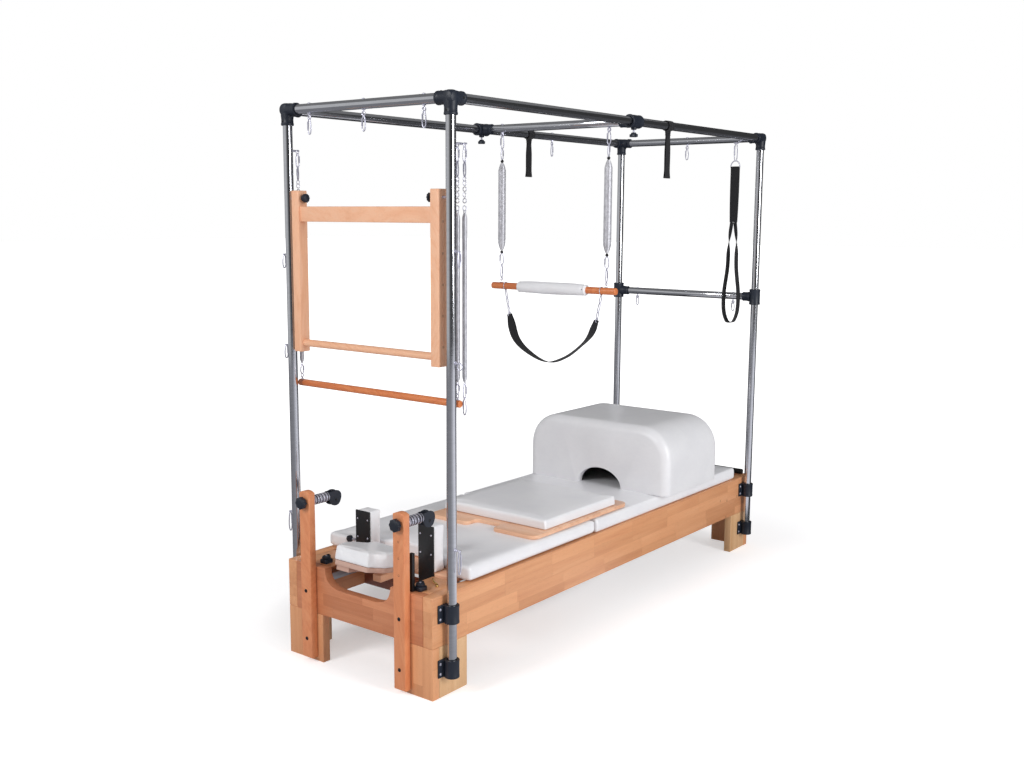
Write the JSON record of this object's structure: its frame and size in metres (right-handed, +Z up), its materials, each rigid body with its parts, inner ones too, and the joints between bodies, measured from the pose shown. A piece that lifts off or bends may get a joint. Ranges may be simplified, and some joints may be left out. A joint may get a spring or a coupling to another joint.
{
  "type": "pilates trapeze table",
  "caption": "Wooden pilates table with a sliding carriage under a chromed tube canopy that carries a trapeze, a push-through frame, a roll-down bar, springs and straps.",
  "frame": {"origin": "middle of the bounding box in X and Y, on the floor", "axes": "+X from the head end with the headrest and pulleys to the foot end, +Y to the left side of a person who lies on the table, +Z up"},
  "size_m": [2.4976, 0.85, 2.088],
  "materials": {
    "beech": "satin lacquer over laminated strips",
    "pale_beech": "satin lacquer",
    "orange_beech": "satin lacquer",
    "chrome_tube": "polished",
    "black_casting": "satin blue-black",
    "black_steel": "satin black",
    "white_vinyl": "smooth coated fabric, soft sheen",
    "grey_vinyl": "smooth coated fabric, soft sheen",
    "webbing": "black woven webbing",
    "spring_steel": "bright close-wound wire",
    "track_metal": "anodised"
  },
  "bodies": {
    "base": {"side_rail_right": "beech", "side_rail_left": "beech", "end_rail_head": "beech", "end_rail_foot": "beech", "leg_head_right": "beech", "leg_head_left": "beech", "leg_foot_right": "beech", "leg_foot_left": "beech", "track_right": "track_metal", "track_left": "track_metal", "spring_bar": "spring_steel", "riser_right": "beech", "riser_left": "beech", "post_head_right": "chrome_tube", "post_head_left": "chrome_tube", "post_foot_right": "chrome_tube", "post_foot_left": "chrome_tube", "corner_head_right": "black_casting", "corner_head_left": "black_casting", "corner_foot_right": "black_casting", "corner_foot_left": "black_casting", "top_tube_right": "chrome_tube", "top_tube_left": "chrome_tube", "top_tube_head": "chrome_tube", "top_tube_foot": "chrome_tube"},
    "riser_bolt_right": {"riser_bolt_right": "chrome_tube"},
    "riser_bolt_left": {"riser_bolt_left": "chrome_tube"},
    "pulley_right": {"pulley_right": "black_casting"},
    "pulley_left": {"pulley_left": "black_casting"},
    "crossbar": {"crossbar": "chrome_tube"},
    "crossbar_knob_right": {"crossbar_knob_right": "black_casting"},
    "crossbar_knob_left": {"crossbar_knob_left": "black_casting"},
    "mid_bar": {"mid_bar": "chrome_tube"},
    "trapeze": {"trapeze_spring_right": "spring_steel", "trapeze_spring_left": "spring_steel", "trapeze_bar": "pale_beech", "trapeze_sleeve": "white_vinyl", "trapeze_sling": "webbing"},
    "push_through": {"push_through_frame": "pale_beech"},
    "push_knob_right": {"push_knob_right": "black_casting"},
    "push_knob_left": {"push_knob_left": "black_casting"},
    "roll_down": {"roll_down_bar": "orange_beech", "roll_down_spring_right": "spring_steel", "roll_down_spring_left": "spring_steel"},
    "spare_spring": {"spare_spring": "spring_steel"},
    "tube_loop_right": {"tube_loop_right": "webbing"},
    "tube_loop_left": {"tube_loop_left": "webbing"},
    "long_loop": {"long_loop": "webbing"},
    "carriage": {"carriage_platform": "beech", "carriage_pad": "white_vinyl", "shoulder_rest_right": "black_steel", "shoulder_rest_left": "black_steel"},
    "wheel_set_head": {"wheel_set_head": "black_steel"},
    "wheel_set_foot": {"wheel_set_foot": "black_steel"},
    "headrest": {"headrest": "white_vinyl"},
    "filler_mat": {"filler_mat": "white_vinyl"},
    "jump_board": {"jump_board": "pale_beech", "jump_board_pad": "white_vinyl"},
    "sitting_box": {"sitting_box": "grey_vinyl"},
    "foot_bar": {"foot_bar": "black_steel"}
  },
  "joints": [
    {"name": "carriage_slide", "type": "slide", "parent": "base", "child": "carriage", "axis": [1, 0, 0], "range_m": [0, 0.07]},
    {"name": "wheel_spin_head", "type": "hinge", "parent": "carriage", "child": "wheel_set_head", "pos_m": [-0.8722, 0, 0.3153], "axis": [0, 1, 0], "continuous": true},
    {"name": "wheel_spin_foot", "type": "hinge", "parent": "carriage", "child": "wheel_set_foot", "pos_m": [-0.2922, 0, 0.3153], "axis": [0, 1, 0], "continuous": true},
    {"name": "headrest_tilt", "type": "hinge", "parent": "carriage", "child": "headrest", "pos_m": [-1.0102, 0, 0.3783], "axis": [0, 1, 0], "range_deg": [0, 18]},
    {"name": "filler_mat_lift", "type": "slide", "parent": "carriage", "child": "filler_mat", "axis": [0, 0, 1], "range_m": [0, 0.15]},
    {"name": "jump_board_lift", "type": "slide", "parent": "filler_mat", "child": "jump_board", "axis": [0, 0, 1], "range_m": [0, 0.15]},
    {"name": "sitting_box_lift", "type": "slide", "parent": "filler_mat", "child": "sitting_box", "axis": [0, 0, 1], "range_m": [0, 0.15]},
    {"name": "crossbar_slide", "type": "slide", "parent": "base", "child": "crossbar", "axis": [1, 0, 0], "range_m": [-0.6, 0.2]},
    {"name": "mid_bar_slide", "type": "slide", "parent": "base", "child": "mid_bar", "axis": [0, 0, 1], "range_m": [-0.3, 0.3]},
    {"name": "trapeze_swing", "type": "hinge", "parent": "crossbar", "child": "trapeze", "pos_m": [0.0078, 0, 2.028], "axis": [0, -1, 0], "range_deg": [-20, 25]},
    {"name": "push_through_swing", "type": "hinge", "parent": "base", "child": "push_through", "pos_m": [-1.1222, 0, 1.74], "axis": [0, -1, 0], "range_deg": [-75, 75]},
    {"name": "roll_down_swing", "type": "hinge", "parent": "base", "child": "roll_down", "pos_m": [-1.0822, 0, 1.915], "axis": [0, -1, 0], "range_deg": [0, 35]},
    {"name": "spare_spring_swing", "type": "hinge", "parent": "base", "child": "spare_spring", "pos_m": [-1.0712, -0.414, 1.915], "axis": [0, -1, 0], "range_deg": [0, 35]},
    {"name": "long_loop_swing", "type": "hinge", "parent": "base", "child": "long_loop", "pos_m": [1.1358, -0.289, 2.04], "axis": [0, -1, 0], "range_deg": [-40, 0]},
    {"name": "foot_bar_fold", "type": "hinge", "parent": "base", "child": "foot_bar", "pos_m": [0.9778, 0, 0.322], "axis": [0, 1, 0], "range_deg": [-14, 0]},
    {"name": "riser_bolt_turn_right", "type": "hinge", "parent": "base", "child": "riser_bolt_right", "pos_m": [-1.1922, -0.24, 0.622], "axis": [1, 0, 0], "continuous": true},
    {"name": "pulley_swivel_right", "type": "hinge", "parent": "riser_bolt_right", "child": "pulley_right", "pos_m": [-1.0922, -0.24, 0.622], "axis": [1, 0, 0], "continuous": true},
    {"name": "crossbar_knob_turn_right", "type": "hinge", "parent": "crossbar", "child": "crossbar_knob_right", "pos_m": [0.0078, -0.398, 2.01], "axis": [0, 0, 1], "continuous": true},
    {"name": "push_knob_turn_right", "type": "hinge", "parent": "push_through", "child": "push_knob_right", "pos_m": [-1.1222, -0.34, 1.74], "axis": [0, 1, 0], "continuous": true},
    {"name": "tube_loop_swing_right", "type": "hinge", "parent": "base", "child": "tube_loop_right", "pos_m": [0.2818, -0.398, 2.061], "axis": [1, 0, 0], "range_deg": [-30, 30]},
    {"name": "riser_bolt_turn_left", "type": "hinge", "parent": "base", "child": "riser_bolt_left", "pos_m": [-1.1922, 0.24, 0.622], "axis": [1, 0, 0], "continuous": true},
    {"name": "pulley_swivel_left", "type": "hinge", "parent": "riser_bolt_left", "child": "pulley_left", "pos_m": [-1.0922, 0.24, 0.622], "axis": [1, 0, 0], "continuous": true},
    {"name": "crossbar_knob_turn_left", "type": "hinge", "parent": "crossbar", "child": "crossbar_knob_left", "pos_m": [0.0078, 0.398, 2.01], "axis": [0, 0, 1], "continuous": true},
    {"name": "push_knob_turn_left", "type": "hinge", "parent": "push_through", "child": "push_knob_left", "pos_m": [-1.1222, 0.34, 1.74], "axis": [0, 1, 0], "continuous": true},
    {"name": "tube_loop_swing_left", "type": "hinge", "parent": "base", "child": "tube_loop_left", "pos_m": [0.3608, 0.398, 2.061], "axis": [1, 0, 0], "range_deg": [-30, 30]}
  ],
  "couplings": [
    {"joint": "wheel_spin_head", "follows": "carriage_slide", "rad_per_m": 40},
    {"joint": "wheel_spin_foot", "follows": "carriage_slide", "rad_per_m": 40}
  ]
}
